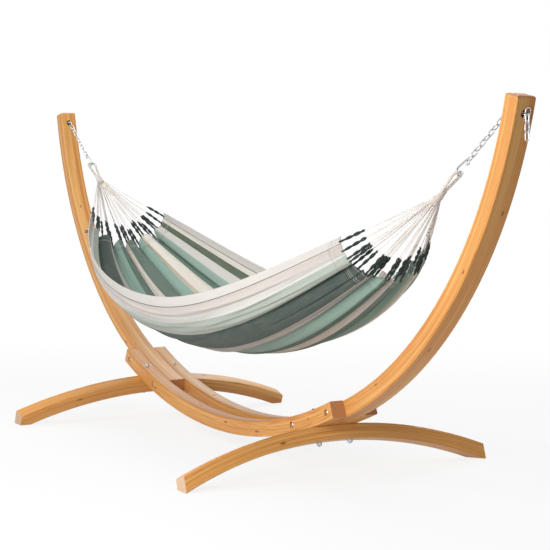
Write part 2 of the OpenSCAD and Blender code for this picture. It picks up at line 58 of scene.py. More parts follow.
# The chain, hook, rope eye and neck, along the line that the hammock pulls.
line = {
    "slope": math.radians(38),
    "linkPitch": 0.0245,
    "linkWidth": 0.018,
    "wire": 0.004,
    "linkGap": 0.0003,
    "swingGap": 0.0006,
    "snapWire": 0.004,
    "links": 10,
    "hookWire": 0.006,
    "hookLength": 0.062,
    "ropeThickness": 0.018,
    "eyeLength": 0.085,
    "neckDiameter": 0.038,
    "neckLength": 0.045,
}

# The bed and its cords. Each run goes from the neck to the hem, in the middle and at the sides.
bed = {
    "cordRun": 0.350,
    "cordSlope": math.radians(47),
    "sideRun": 0.340,
    "sideSlope": math.radians(24),
    "width": 0.740,
    "hemWidth": 0.330,
    "edgeSag": 0.260,
    "sag": 0.350,
    "narrowing": 3,  # how late the bed narrows towards its hems
    "borderWidth": 0.052,
    "hemLength": 0.042,
    "foldSpare": 1.02,  # of length that the folds take up
    "loops": 14,
    "loopLength": 0.092,
    "fanShare": 0.103,  # the cords' spread where they enter the neck, as a share of the hem's
}


def towards(angle):
    return Vector((math.sin(angle), -math.cos(angle)))


def onLine(point):
    return Vector((point[0], 0.0, point[1]))


railHalf = beams["railLength"] / 2
railEnd = railHalf / beams["railRadius"]
tipAt = railHalf - beams["lap"] + beams["armLength"]
holeAt = tipAt - beams["holeEdge"]
footAt = railHalf - beams["lap"] / 2
footTilt = footAt / beams["railRadius"]
footDrop = beams["footDepth"] / 2 + beams["depth"] / 2 - beams["footSeat"] + beams["footRadius"]
toeDrop = footDrop - math.sqrt(
    (beams["footRadius"] + beams["footDepth"] / 2) ** 2 - (beams["footLength"] / 2) ** 2
)
railLow = (
    beams["toeHeight"] + toeDrop * math.cos(footTilt) - beams["railRadius"] * (1 - math.cos(footTilt))
)
railCentre = Vector((0.0, railLow + beams["railRadius"]))
armCentre = railCentre + (beams["railRadius"] - beams["armRadius"]) * towards(railEnd)
holeAngle = railEnd + (holeAt - railHalf) / beams["armRadius"]
holePoint = armCentre + beams["armRadius"] * towards(holeAngle)
footPoint = railCentre + beams["railRadius"] * towards(footTilt)

outward = towards(holeAngle)
pull = Vector((-math.cos(line["slope"]), -math.sin(line["slope"])))
linkBend = (line["linkWidth"] - line["wire"]) / 2
snapPlane = beams["depth"] / 2 + line["linkGap"] + line["snapWire"] / 2
spareDrop = linkBend - line["wire"] - line["linkGap"] / 2
sparePlane = snapPlane + line["snapWire"] / 2 + 2 * line["linkGap"] + line["wire"] / 2 + linkBend
sparePlane += spareDrop * outward[1]
pivot = holePoint - (3 * line["linkPitch"] - sparePlane + line["wire"] / 2) * outward
linkEnd = (line["linkGap"] + line["wire"]) / 2
chainStart = pivot - linkEnd * outward - (line["wire"] + line["swingGap"] - linkEnd) * pull
eyeAt = line["links"] * line["linkPitch"] + line["hookLength"]
neckAt = eyeAt + line["eyeLength"]
neck = chainStart + (neckAt + line["neckLength"]) * pull
pullWay = onLine(pull)

hemKeel = neck - bed["cordRun"] * Vector((math.cos(bed["cordSlope"]), math.sin(bed["cordSlope"])))
sideReach = math.sqrt(bed["sideRun"] ** 2 - bed["hemWidth"] ** 2 / 4)
hemCorner = neck - sideReach * Vector((math.cos(bed["sideSlope"]), math.sin(bed["sideSlope"])))
keelLow = hemKeel[1] - bed["sag"]
edgeLow = hemCorner[1] - bed["edgeSag"]


def bedPoint(t, v):  # t runs along the bed and v across it, each from -1 to 1
    side = math.sin(math.pi / 2 * v)
    depth = math.cos(math.pi / 2 * v)
    reach = hemKeel[0] + (hemCorner[0] - hemKeel[0]) * side * side
    half = (bed["width"] + (bed["hemWidth"] - bed["width"]) * abs(t) ** bed["narrowing"]) / 2
    keel = keelLow + (hemKeel[1] - keelLow) * t * t
    edge = edgeLow + (hemCorner[1] - edgeLow) * t * t
    return Vector((reach * t, half * side, edge - (edge - keel) * depth))


def bedNormal(t, v, step=0.002):  # points out of the trough
    along = bedPoint(t + step, v) - bedPoint(t - step, v)
    across = bedPoint(t, v + step) - bedPoint(t, v - step)
    return across.cross(along).normalized()


midDepth = edgeLow - keelLow
halfArc = math.pi / 2 * math.sqrt((bed["width"] ** 2 / 4 + midDepth**2) / 2)
borderV = 1 - bed["borderWidth"] / halfArc
keelHalf = math.hypot(hemKeel[0], hemKeel[1] - keelLow)
hemT = 1 - bed["hemLength"] / keelHalf
flatLength = 2 * keelHalf * bed["foldSpare"]

print("stand and bed worked out")


class Wire:  # a socket that takes part in sums
    def __init__(self, graph, socket):
        self.graph = graph
        self.socket = socket

    def math(self, operation, *others, clamp=False):
        settings = {"operation": operation, "use_clamp": clamp}
        return self.graph.node("ShaderNodeMath", settings, dict(enumerate((self, *others))))

    def __add__(self, other):
        return self.math("ADD", other)

    def __radd__(self, other):
        return self.math("ADD", other)

    def __sub__(self, other):
        return self.math("SUBTRACT", other)

    def __rsub__(self, other):
        return (self * -1.0) + other

    def __mul__(self, other):
        return self.math("MULTIPLY", other)

    def __rmul__(self, other):
        return self.math("MULTIPLY", other)

    def __truediv__(self, other):
        return self.math("DIVIDE", other)

    def __abs__(self):
        return self.math("ABSOLUTE")

    def __gt__(self, other):
        return self.math("GREATER_THAN", other)

    def __lt__(self, other):
        return self.math("LESS_THAN", other)

    def sin(self):
        return self.math("SINE")

    def floor(self):
        return self.math("FLOOR")

    def part(self):
        return self.math("FRACT")

    def most(self, other):
        return self.math("MAXIMUM", other)

    def clipped(self):
        return self.math("ADD", 0.0, clamp=True)

    def ramp(self, low, high):  # 0 below low, 1 above high, smooth between
        ends = {"Value": self, "From Min": low, "From Max": high}
        return self.graph.node("ShaderNodeMapRange", {"interpolation_type": "SMOOTHSTEP"}, ends)


class Graph:  # the nodes of one material, or of the world
    def __init__(self, tree):
        self.tree = tree

    def join(self, socket, value):
        if isinstance(value, Wire):
            self.tree.links.new(value.socket, socket)
        else:
            socket.default_value = value

    def node(self, kind, settings=None, inputs=None, out=0):  # out names one output or several
        node = self.tree.nodes.new(kind)
        for name, value in (settings or {}).items():
            if name == "stops":
                setStops(node.color_ramp, value)
            else:
                setattr(node, name, value)
        for name, value in (inputs or {}).items():
            self.join(node.inputs[name], value)
        if isinstance(out, tuple):
            return [Wire(self, node.outputs[name]) for name in out]
        return Wire(self, node.outputs[out])

    def split(self, vector):
        return self.node("ShaderNodeSeparateXYZ", inputs={"Vector": vector}, out=("X", "Y", "Z"))

    def place(self):  # X, Y and Z in metres
        return self.split(self.node("ShaderNodeTexCoord", out="Object"))

    def vector(self, x, y, z=0.0):
        return self.node("ShaderNodeCombineXYZ", inputs={"X": x, "Y": y, "Z": z})

    def noise(self, vector, scale=1.0, detail=2.0):
        inputs = {"Vector": vector, "Scale": scale, "Detail": detail}
        return self.node("ShaderNodeTexNoise", {}, inputs, "Fac")

    def chance(self, number):  # from 0 to 1, another for each number
        return self.node("ShaderNodeTexWhiteNoise", {"noise_dimensions": "1D"}, {"W": number}, "Value")

    def mix(self, share, first, second):  # of two colours
        return self.node("ShaderNodeMix", {"data_type": "RGBA"}, {0: share, 6: first, 7: second}, 2)


def setStops(ramp, stops):  # sharp stops, each with its place and colour
    ramp.interpolation = "CONSTANT"
    while len(ramp.elements) > 1:
        ramp.elements.remove(ramp.elements[-1])
    ramp.elements[0].position, ramp.elements[0].color = stops[0]
    for position, shade in stops[1:]:
        ramp.elements.new(position).color = shade


def colour(red, green, blue):  # as seen on a screen, 0 to 255
    def linear(part):
        part = part / 255
        return part / 12.92 if part <= 0.04045 else ((part + 0.055) / 1.055) ** 2.4

    return (linear(red), linear(green), linear(blue), 1.0)


class Finish(Graph):  # one material; fixed sets the shader's sockets, with _ for a space
    def __init__(self, name, **fixed):
        self.material = bpy.data.materials.new(name)
        self.material.use_nodes = True
        super().__init__(self.material.node_tree)
        self.shader = self.tree.nodes["Principled BSDF"]
        for socket, value in fixed.items():
            self.feed(socket.replace("_", " "), value)

    def feed(self, name, value):
        self.join(self.shader.inputs[name], value)

    def bump(self, height, strength, distance):
        inputs = {"Height": height, "Strength": strength, "Distance": distance}
        self.feed("Normal", self.node("ShaderNodeBump", {}, inputs, "Normal"))


wood = {
    "layer": 0.0083,  # thickness of one lamination
    "layerShrink": 0.985,  # so that the beam's faces fall inside a lamination
    "ring": 0.0042,  # spacing of the growth rings
    "sway": 0.030,  # how far the rings wander
    "knotStretch": 0.42,  # a knot's height as a share of its length along the beam
    "coat": 0.12,
    "grainDepth": 0.0004,
    "tipEnd": 0.006,  # end grain begins this far from an arm's tip
    "sawnEnd": 0.001,  # and this far from a sawn end
    "early": colour(217, 154, 79),
    "late": colour(170, 98, 39),
    "pale": colour(236, 189, 116),
    "red": colour(182, 98, 42),
    "endPale": colour(206, 146, 98),
    "endDark": colour(164, 102, 62),
    "toePale": colour(216, 186, 158),
    "toeDark": colour(188, 150, 116),
    "knot": colour(92, 46, 20),
    "glue": colour(146, 84, 36),
}


def polar(x, z, centre, radius):  # depth across a bend, and length round it from its lowest point
    dx = x - centre[0]
    dz = z - centre[1]
    reach = (dx * dx + dz * dz).math("SQRT")
    return reach - radius, dx.math("ARCTAN2", dz * -1.0) * radius


def armPlace(finish):
    x, y, z = finish.place()
    x = abs(x)
    depthLow, alongLow = polar(x, z, railCentre, beams["railRadius"])
    depthHigh, alongHigh = polar(x, z, armCentre, beams["armRadius"])
    high = alongLow > railHalf  # above the rails' ends, where the arm has its own bend
    alongHigh = alongHigh + (railHalf - railEnd * beams["armRadius"])
    along = alongLow * (1 - high) + alongHigh * high
    depth = depthLow * (1 - high) + depthHigh * high
    foot = railHalf - beams["lap"]
    tip = along.ramp(tipAt - wood["tipEnd"], tipAt - wood["sawnEnd"])
    return along, y, depth, tip.most(along.ramp(foot + wood["sawnEnd"], foot + wood["sawnEnd"] / 5))


def railPlace(finish):
    x, y, z = finish.place()
    depth, along = polar(x, z, railCentre, beams["railRadius"])
    return along, y, depth, abs(along).ramp(railHalf - wood["sawnEnd"], railHalf - wood["sawnEnd"] / 5)


def footPlace(finish):
    x, y, z = finish.place()
    x = abs(x) - footPoint[0]
    z = z - footPoint[1]
    across = x * math.cos(footTilt) + z * math.sin(footTilt)
    up = z * math.cos(footTilt) - x * math.sin(footTilt) + footDrop
    depth = (y * y + up * up).math("SQRT") - beams["footRadius"]
    along = y.math("ARCTAN2", up) * beams["footRadius"]
    toe = beams["footLength"] / 2
    return along, across, depth, abs(y).ramp(toe - wood["sawnEnd"], toe - wood["sawnEnd"] / 5)


def woodFinish(name, placing, ends, knots, seed):
    finish = Finish(name, Coat_Weight=wood["coat"], Coat_Roughness=0.30, Specular_IOR_Level=0.35)
    along, across, depth, end = placing(finish)
    layers = depth * wood["layerShrink"] / wood["layer"] + 0.5
    layer = layers.floor()
    inLayer = layers - layer
    luck = finish.chance(layer + seed)
    luckToo = finish.chance(layer * 3.0 + seed + 11.5)

    # growth rings round a pith that each lamination has at its own place
    sway = finish.noise(finish.vector(along * 1.7, layer * 3.1 + seed, across * 3.0), detail=3.0) - 0.5
    ringX = across + (luck - 0.5) * 0.05 + sway * wood["sway"]
    ringY = inLayer * wood["layer"] + luckToo * 0.03 + 0.012
    rings = ((ringX * ringX + ringY * ringY).math("SQRT") / wood["ring"]).part()
    late = rings.ramp(0.35, 0.92) * rings.ramp(1.0, 0.93)

    knotty = None
    for alongAt, acrossAt, depthAt, size in knots:
        stretched = (along - alongAt) * wood["knotStretch"]
        spot = finish.vector(stretched, across - acrossAt, (depth - depthAt) * 1.2)
        far = finish.node("ShaderNodeVectorMath", {"operation": "LENGTH"}, {0: spot}, "Value")
        near = (far + (sway * 0.008)).ramp(size, size * 0.3)
        knotty = near if knotty is None else knotty.most(near)

    fibre = finish.noise(finish.vector(along * 6.0, across * 420.0, depth * 420.0 + luck * 60.0), detail=3.0)
    streak = finish.noise(finish.vector(along * 1.1 + luck * 9.0, across * 38.0, depth * 60.0))
    cloud = finish.noise(finish.vector(along * 2.4, across * 7.0 + seed, depth * 7.0))

    shade = finish.mix(late * 0.58 + (fibre - 0.5) * 0.50 + 0.02, wood["early"], wood["late"])
    shade = finish.mix(streak.ramp(0.40, 0.70) * 0.62, shade, wood["pale"])
    shade = finish.mix((luck - 0.35).clipped() * 0.40 + cloud.ramp(0.50, 0.85) * 0.30, shade, wood["red"])
    seam = abs(inLayer - 0.5).ramp(0.470, 0.492)
    shade = finish.mix(seam * 0.42, shade, wood["glue"])
    shade = finish.mix(knotty.ramp(0.0, 0.5) * 0.5, shade, wood["late"])
    shade = finish.mix(knotty.ramp(0.4, 1.0) * 0.6, shade, wood["knot"])
    endRings = finish.mix(late * 0.6 + fibre * 0.5, wood[ends + "Pale"], wood[ends + "Dark"])

    finish.feed("Base Color", finish.mix(end, shade, endRings))
    finish.feed("Roughness", fibre * 0.16 + 0.40 + end * 0.2)
    finish.bump(fibre * 0.6 + late * 0.5 - seam * 0.8, 0.35, wood["grainDepth"])
    return finish.material


steel = {
    "bright": colour(206, 208, 210),
    "dull": colour(170, 174, 178),
    "yellowed": colour(196, 190, 172),
    "threadPitch": 0.0015,
    "lapThreadFrom": 0.070,  # along a lap bolt, from the stand's middle
    "footThreadFrom": -0.060,  # along a foot bolt, from the rails' centre line
}


def steelFinish(name, thread=None):
    finish = Finish(name, Metallic=1.0)
    x, y, z = finish.place()
    spot = finish.vector(x, y, z)
    mottle = finish.noise(spot, scale=260.0, detail=3.0)
    patch = finish.noise(spot, scale=38.0)
    shade = finish.mix(mottle.ramp(0.3, 0.7), steel["bright"], steel["dull"])
    finish.feed("Base Color", finish.mix(patch.ramp(0.55, 0.8) * 0.35, shade, steel["yellowed"]))
    finish.feed("Roughness", patch * 0.22 + 0.20)
    height = mottle * 0.12
    if thread:
        along, threaded = thread(x, y, z)
        height = height + (along / steel["threadPitch"] * (2 * math.pi)).sin() * threaded
    finish.bump(height, 0.5, 0.0006)
    return finish.material


def lapThread(x, y, z):
    return y, y > steel["lapThreadFrom"]


def footThread(x, y, z):
    along = (abs(x) - footPoint[0]) * -math.sin(footTilt) + (z - footPoint[1]) * math.cos(footTilt)
    return along, along < steel["footThreadFrom"]


def dress(material, *nodes):
    for name in nodes:
        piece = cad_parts[name]
        piece.data.materials.clear()
        piece.data.materials.append(material)


def meshFrom(bm, name):
    mesh = bpy.data.meshes.new(name)
    bm.to_mesh(mesh)
    bm.free()
    return mesh


def added(name, data):
    thing = bpy.data.objects.new(name, data)
    bpy.context.scene.collection.objects.link(thing)
    return thing


# each beam's own place for the grain, its end grain, and its knots: along, across, depth and size
beamWood = {
    "arm_left": (armPlace, "end", [
        (0.93, -0.035, 0.012, 0.006), (1.36, 0.010, -0.029, 0.007), (1.71, -0.012, -0.029, 0.005),
        (1.18, 0.035, -0.008, 0.006),
    ]),
    "arm_right": (armPlace, "end", [
        (1.02, -0.035, -0.010, 0.006), (1.30, -0.006, 0.029, 0.007), (1.62, -0.035, 0.014, 0.005),
        (1.83, 0.012, 0.029, 0.005), (1.47, 0.035, 0.004, 0.007),
    ]),
    "rail_front": (railPlace, "end", [
        (-0.52, -0.089, 0.006, 0.006), (0.07, -0.089, -0.012, 0.006), (0.30, -0.089, 0.010, 0.008),
        (-0.18, -0.060, -0.029, 0.006), (0.66, -0.089, -0.004, 0.006),
    ]),
    "rail_back": (railPlace, "end", [
        (-0.30, 0.060, -0.029, 0.006), (0.22, 0.036, 0.004, 0.007), (0.44, 0.089, -0.010, 0.007),
    ]),
    "foot_left": (footPlace, "toe", [(-0.36, -0.030, 0.006, 0.006), (0.21, 0.012, 0.026, 0.007)]),
    "foot_right": (footPlace, "toe", [
        (-0.22, 0.030, -0.006, 0.006), (0.34, -0.008, 0.026, 0.007), (-0.45, 0.010, 0.026, 0.006),
    ]),
}
for number, (name, look) in enumerate(beamWood.items()):
    dress(woodFinish("wood " + name.replace("_", " "), *look, seed=3.7 * number + 1.3), name)

zinc = steelFinish("zinc plate")
dress(zinc, "lap_washers", "lap_nuts", "foot_washers", "foot_nuts", "snap_pins")
dress(steelFinish("zinc lap bolt", lapThread), "lap_bolts")
dress(steelFinish("zinc foot bolt", footThread), "foot_bolts")
for side in ("left", "right"):
    dress(zinc, "anchor_chain_" + side, "snap_hook_" + side, "snap_gate_" + side, "spare_chain_" + side)
    dress(zinc, "chain_" + side, "hook_" + side)
print("wood and steel dressed")


cloth = {
    "thickness": 0.0014,
    "borderThickness": 0.0024,
    "hemThickness": 0.0034,
    "turnedIn": 0.0035,  # of the sheet under each border
    "hemOver": 0.004,  # of each hem over the sheet
    "hemRoll": 0.0012,
    "folds": 8,
    "foldDepth": 0.0185,  # at the hems, each way
    "foldGrowth": 1.5,  # how late the folds deepen towards the hems
    "foldRound": 0.85,
    "tuck": 0.7,  # how much deeper the narrow crease between two folds is
    "foldShift": 0.15,  # how far the creases stray from even places, in widths of a fold
    "foldTurns": math.radians(500.0),
    "calm": (0.5, 0.8),  # the folds die away between these v, short of the borders
    "scallop": 0.011,  # how far the hem bows out between folds
    "creases": 46,
    "borderCreases": 9,
    "pleats": 9,  # at each hem
    "creaseEnd": 2.6,  # a crease ends this many of its own widths from its middle
    "border": colour(203, 199, 194),
    "thread": colour(60, 66, 60),
}

sewing = {
    "weave": 0.0011,  # between threads
    "stitch": 0.0045,  # a stitch and its gap
    "borderStitch": 0.0042,
    "stitchWidth": 0.0011,
    "lineAt": 0.0035,  # the dark line of thread, from a border's seam
    "lineHalf": (0.0017, 0.0011),  # its half width, out to its soft rim and to its core
    "borderRow": 0.0490,  # from a border's seam
    "hemRows": (0.0050, 0.0125, 0.0360),  # from a hem's inner edge
}

# the woven stripes from the front border to the back one, each with its share of the width
stripes = [
    (6.0, colour(198, 190, 184)),
    (4.5, colour(212, 210, 205)),
    (9.0, colour(168, 176, 167)),
    (12.5, colour(62, 77, 71)),
    (6.5, colour(172, 168, 162)),
    (6.0, colour(136, 164, 152)),
    (5.5, colour(84, 108, 96)),
    (5.0, colour(212, 204, 196)),
    (8.0, colour(96, 116, 104)),
    (7.0, colour(140, 168, 157)),
    (2.0, colour(188, 181, 164)),
    (8.5, colour(224, 217, 207)),
    (4.0, colour(84, 110, 99)),
    (4.5, colour(148, 172, 161)),
    (6.5, colour(202, 200, 194)),
    (5.0, colour(86, 98, 82)),
    (4.5, colour(218, 211, 203)),
]

# each crease's v and t, its slope, its reach, its width and its height
creases = []
for number in range(cloth["creases"]):
    v = random.uniform(-0.85, 0.85)
    t = random.uniform(-0.8, 0.8)
    slope = random.uniform(0.05, 0.34) * (1 if v * t > 0 else -1)
    height = random.uniform(0.0018, 0.0055) * random.choice((1, 1, -1))
    creases.append((v, t, slope, random.uniform(0.16, 0.42), random.uniform(0.018, 0.050), height))

for number in range(cloth["borderCreases"]):  # long soft ones beside the front border
    place = random.uniform(-0.84, -0.60), random.uniform(-0.45, 0.75), random.uniform(0.03, 0.11)
    size = random.uniform(0.20, 0.34), random.uniform(0.014, 0.026), random.uniform(0.0045, 0.0080)
    creases.append((*place, *size))

# each pleat's end, its v there, its depth, how far it runs in, its width and its slant
pleats = []
for end in (-1, 1):
    for number in range(cloth["pleats"]):
        v = -0.40 + 0.135 * number + random.uniform(-0.04, 0.04) if end > 0 else random.uniform(-0.7, 0.75)
        size = random.uniform(0.009, 0.017), random.uniform(0.35, 0.75), random.uniform(0.010, 0.017)
        pleats.append((end, v, *size, random.uniform(-0.10, 0.10)))


def smooth(value, low, high):
    value = min(1.0, max(0.0, (value - low) / (high - low)))
    return value * value * (3 - 2 * value)


def bulge(v):  # from -1 in the crease between two folds to 1 on a fold's crown
    place = cloth["folds"] * (v + 1) / 2 + cloth["foldShift"] * math.sin(cloth["foldTurns"] * v)
    crown = math.sin(math.pi * (place - math.floor(place)))
    wave = 2 * crown ** cloth["foldRound"] - 1 - cloth["tuck"] * (1 - crown) ** 5
    return wave * (1 - smooth(abs(v), *cloth["calm"]))


def folds(t, v):  # how far the cloth stands out of its smooth shape
    wave = bulge(v + 0.02 * math.sin(2.9 * t + 5.0 * v) * (1 - abs(t)))
    if t < 0:  # the folds of the left end crown inwards
        wave = -wave
    gathered = abs(t) ** cloth["foldGrowth"] * wave * cloth["foldDepth"]
    creased = 0.0
    for v0, t0, slope, reach, width, height in creases:
        along = (t - t0) / reach
        across = (v - v0 - slope * (t - t0)) / width
        if max(abs(along), abs(across)) < cloth["creaseEnd"]:
            creased += height * math.exp(-along * along - across * across)
    for end, v0, depth, reach, width, slant in pleats:
        across = (v - v0 - slant * (1 - abs(t))) / width
        if t * end > 1 - reach and abs(across) < cloth["creaseEnd"]:
            creased -= end * depth * smooth(abs(t), 1 - reach, 1.0) * math.exp(-across * across)
    slack = 0.0035 * math.sin(5.1 * v + 2.2 * t + 0.6) + 0.0022 * math.sin(11.0 * v - 3.4 * t)
    edge = 1 - 0.75 * smooth(abs(v), 0.84, 1.0)  # the borders lie flatter
    return gathered + (creased + slack * (1 - t * t)) * edge


def clothPoint(t, v, lift=0.0):
    return bedPoint(t, v) + bedNormal(t, v) * (folds(t, v) + lift)


def hemEnd(v):  # the t at which the hem ends, which bows out between its creases
    return 1 + (bulge(v) - 0.6) * cloth["scallop"] / hemKeel[0]


def finished(name, mesh, material, node):  # a piece of the hammock that stands for a CAD node
    piece = added(name, mesh)
    mesh.materials.append(material)
    if hasattr(mesh, "polygons"):  # a curve has none
        mesh.shade_smooth()
    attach(piece, "hammock")
    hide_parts(node)
    return piece


def clothPiece(name, span, width, cells, thickness, material, node, shape=clothPoint):
    bm = bmesh.new()
    bmesh.ops.create_grid(bm, x_segments=cells[0], y_segments=cells[1], size=0.5)
    uv = bm.loops.layers.uv.new("flat")
    spots = {}
    for vert in bm.verts:
        t = span[0] + (span[1] - span[0]) * (vert.co.x + 0.5)
        v = width[0] + (width[1] - width[0]) * (vert.co.y + 0.5)
        spots[vert] = (t * flatLength / 2, v * halfArc)
        vert.co = shape(t, v)
    for face in bm.faces:
        for loop in face.loops:
            loop[uv].uv = spots[loop.vert]
    piece = finished(name, meshFrom(bm, name), material, node)
    wall = piece.modifiers.new("wall", "SOLIDIFY")
    wall.thickness = thickness
    wall.offset = 0.0
    return piece


class Cotton(Finish):  # woven cloth, with u along and w across the flat sheet, in metres
    def __init__(self, name):
        super().__init__(name, Sheen_Weight=0.08, Sheen_Roughness=0.5, Specular_IOR_Level=0.2)
        self.u, self.w, _ = self.split(self.node("ShaderNodeUVMap", {"uv_map": "flat"}))
        self.heather = self.noise(self.vector(self.u * 14.0, self.w * 1400.0))
        self.feed("Roughness", self.heather * 0.12 + 0.80)

    def weave(self):
        warp = (self.w / sewing["weave"] * math.pi * 2).sin()
        weft = (self.u / sewing["weave"] * math.pi * 2).sin()
        slub = self.noise(self.vector(self.u * 6.0, self.w * 900.0))
        return warp * weft * 0.5 + slub * 0.6

    def cloud(self):
        return self.noise(self.vector(self.u * 9.0, self.w * 9.0), detail=3.0)

    def striped(self, wander=0.0):
        total = sum(width for width, _ in stripes)
        stops, start = [], 0.0
        for width, shade in stripes:
            stops.append((start / total, shade))
            start += width
        share = (self.w + wander) / (2 * borderV * halfArc) + 0.5
        return self.node("ShaderNodeValToRGB", {"stops": stops}, {0: share})

    def pastSeam(self):  # how far outside a border's seam, and the dark line of thread there
        reach = abs(self.w) - borderV * halfArc
        return reach, abs(reach - sewing["lineAt"]).ramp(*sewing["lineHalf"])


def stitches(across, along, at, step=sewing["stitch"]):  # a row of stitches, and the dent it makes
    row = abs(across - at).ramp(sewing["stitchWidth"], sewing["stitchWidth"] * 0.5)
    dash = abs((along / step).part() - 0.5).ramp(0.36, 0.28)
    return row * dash, abs(across - at).ramp(sewing["stitchWidth"] * 3.0, 0.0)


def stripedFinish(name):
    finish = Cotton(name)
    wander = (finish.noise(finish.vector(finish.u * 3.0, finish.w * 3.0), detail=1.0) - 0.5) * 0.0012
    cross = finish.noise(finish.vector(finish.u * 1100.0, finish.w * 22.0))
    cloud = finish.cloud()
    shade = finish.striped(wander)
    shade = finish.mix(finish.heather.ramp(0.35, 0.75) * 0.11, shade, colour(226, 222, 212))
    shade = finish.mix(cross.ramp(0.5, 0.9) * 0.14, shade, colour(60, 68, 62))
    finish.feed("Base Color", finish.mix(cloud.ramp(0.45, 0.8) * 0.07, shade, colour(200, 188, 176)))
    finish.bump(finish.weave() + cloud * 0.8, 0.45, 0.0005)
    return finish.material


def borderFinish(name):
    finish = Cotton(name)
    reach, thread = finish.pastSeam()
    row, pinch = stitches(reach, finish.u, sewing["borderRow"], sewing["borderStitch"])
    shade = finish.mix(finish.heather.ramp(0.35, 0.75) * 0.35, cloth["border"], colour(224, 218, 208))
    shade = finish.mix(finish.cloud().ramp(0.45, 0.8) * 0.14, shade, colour(206, 192, 178))
    shade = finish.mix(thread, shade, cloth["thread"])
    finish.feed("Base Color", finish.mix(row * 0.5, shade, colour(196, 186, 170)))
    finish.bump(finish.weave() + thread * 1.5 + row * 1.2 - pinch * 1.2, 0.45, 0.0005)
    return finish.material


def hemFinish(name):
    finish = Cotton(name)
    reach, thread = finish.pastSeam()
    shade = finish.mix(reach.ramp(-0.0002, 0.0002), finish.striped(), cloth["border"])
    shade = finish.mix(thread, shade, cloth["thread"])
    shade = finish.mix(finish.heather.ramp(0.35, 0.75) * 0.11, shade, colour(226, 222, 212))
    fromEdge = abs(finish.u) - hemT * flatLength / 2
    rows = pinches = 0.0
    for at in sewing["hemRows"]:
        row, pinch = stitches(fromEdge, finish.w, at)
        rows, pinches = row.most(rows), pinch + pinches
    # painted shade: the cloth is darkened in the dents beside each row of stitches, where shade falls
    shade = finish.mix(pinches * 0.22, shade, colour(70, 76, 68))
    finish.feed("Base Color", finish.mix(rows * 0.75, shade, colour(214, 208, 194)))
    finish.bump(finish.weave() + rows * 1.4 - pinches * 1.6, 0.5, 0.0005)
    return finish.material


stripedCotton = stripedFinish("striped cotton")
creamBorder = borderFinish("cream border")
hemCotton = hemFinish("hem cotton")

sheetV = borderV + cloth["turnedIn"] / halfArc
bedCloth = clothPiece(
    "bedCloth", (-hemT, hemT), (-sheetV, sheetV), (150, 262), cloth["thickness"],
    stripedCotton, "bed_cloth",
)
borders = [
    clothPiece(
        "border" + word, (-hemT, hemT), (low, high), (230, 8), cloth["borderThickness"],
        creamBorder, "side_border_" + word.lower(),
    )
    for word, low, high in (("Front", -1.0, -borderV), ("Back", borderV, 1.0))
]


def hemShape(t, v):
    end = math.copysign(hemT + (abs(t) - hemT) * (hemEnd(v) - hemT) / (1 - hemT), t)
    share = min(1.0, smooth(abs(t), hemT - 0.002, 1.0) * 1.3)
    return clothPoint(end, v, cloth["hemRoll"] * math.sin(math.pi * share))


hemStart = hemT - cloth["hemOver"] / hemKeel[0]
hems = [
    clothPiece(
        "hem" + word, ends, (-1.0, 1.0), (16, 200), cloth["hemThickness"],
        hemCotton, "end_hem_" + word.lower(), hemShape,
    )
    for word, ends in (("Left", (-1.0, -hemStart)), ("Right", (hemStart, 1.0)))
]
print("cloth sewn")


cords = {
    "buried": 0.006,  # of a loop in its hem, of a cord in its loop, and of the eye in its neck
    "strand": 0.0058,  # of the twisted loops
    "spread": 0.0029,  # of a loop's two strands from its middle, at its widest
    "twist": 1.5,  # turns in a loop
    "pairedTo": 0.66,  # the v up to which two loops lie side by side
    "pairGap": 0.0135,
    "hemHalf": 0.62 * halfArc,  # half a hem, round its arc
    "perLoop": 2,
    "thickness": 0.0020,
    "slide": 0.8,  # between the places where a loop's two cords enter the neck, in loops
    "pastLoop": 0.001,
    "aside": 0.0013,  # of each of a loop's cords from their middle line
    "bow": 0.0015,
    "sag": 0.0025,
    "intoNeck": 0.012,
    "whipping": 0.0026,
    "whipPitch": 0.0027,
    "whipInset": 0.0020,  # from the neck's ends
    "neckFlat": 0.56,  # thickness of the whipped neck as a share of its width
    "neckNarrow": 0.66,  # its width at the eye, as a share of the solid neck's
    "neckWide": 0.9,  # and its width at the cords
    "whipInside": 0.0014,  # of the whipping's middle line, from the neck's outline
    "coreInset": 0.0018,  # of the bundled cords under it
    "coreRounding": 0.005,
    "eyeCore": 0.0072,
    "eyeWrap": 0.0022,
    "wrapPitch": 0.0030,
    "wrapProud": 0.0003,  # of the wrap's middle line, from the core's face
    "legGap": 0.0002,  # half the gap between the eye's legs at the neck
    "eyeSteps": 30,  # along each leg and round the bend
    "cream": colour(226, 219, 211),
    "creamShadow": colour(210, 201, 192),
    "dark": colour(44, 56, 50),
    "darkShadow": colour(26, 34, 30),
}


def loopV(i):
    return -1 + 2 / bed["loops"] * (i + 0.5)


neckPoint = onLine(neck)
hemMiddle = (hemKeel[1] + hemCorner[1]) / 2


def fanPoint(place):  # where a cord enters the neck; place runs over the loops' numbers
    spot = bedPoint(1, -1 + 2 / bed["loops"] * (place + 0.5))
    across = Vector((0.0, spot.y, spot.z - hemMiddle)) * bed["fanShare"]
    return neckPoint + across - across.dot(pullWay) * pullWay


def squareTo(way):
    first = way.orthogonal().normalized()
    return first, way.cross(first).normalized()


def mirrored(points, side):
    return [Vector((p.x * side, p.y, p.z)) for p in points]


def cordPiece(name, runs, thickness, material, node, sides):
    curve = bpy.data.curves.new(name, "CURVE")
    curve.dimensions = "3D"
    curve.bevel_depth = thickness / 2
    curve.bevel_resolution = sides
    curve.use_fill_caps = True
    for run in runs:
        spline = curve.splines.new("POLY")
        spline.points.add(len(run) - 1)
        for point, place in zip(spline.points, run):
            point.co = (*place, 1.0)
        spline.use_smooth = True
    return finished(name, curve, material, node)


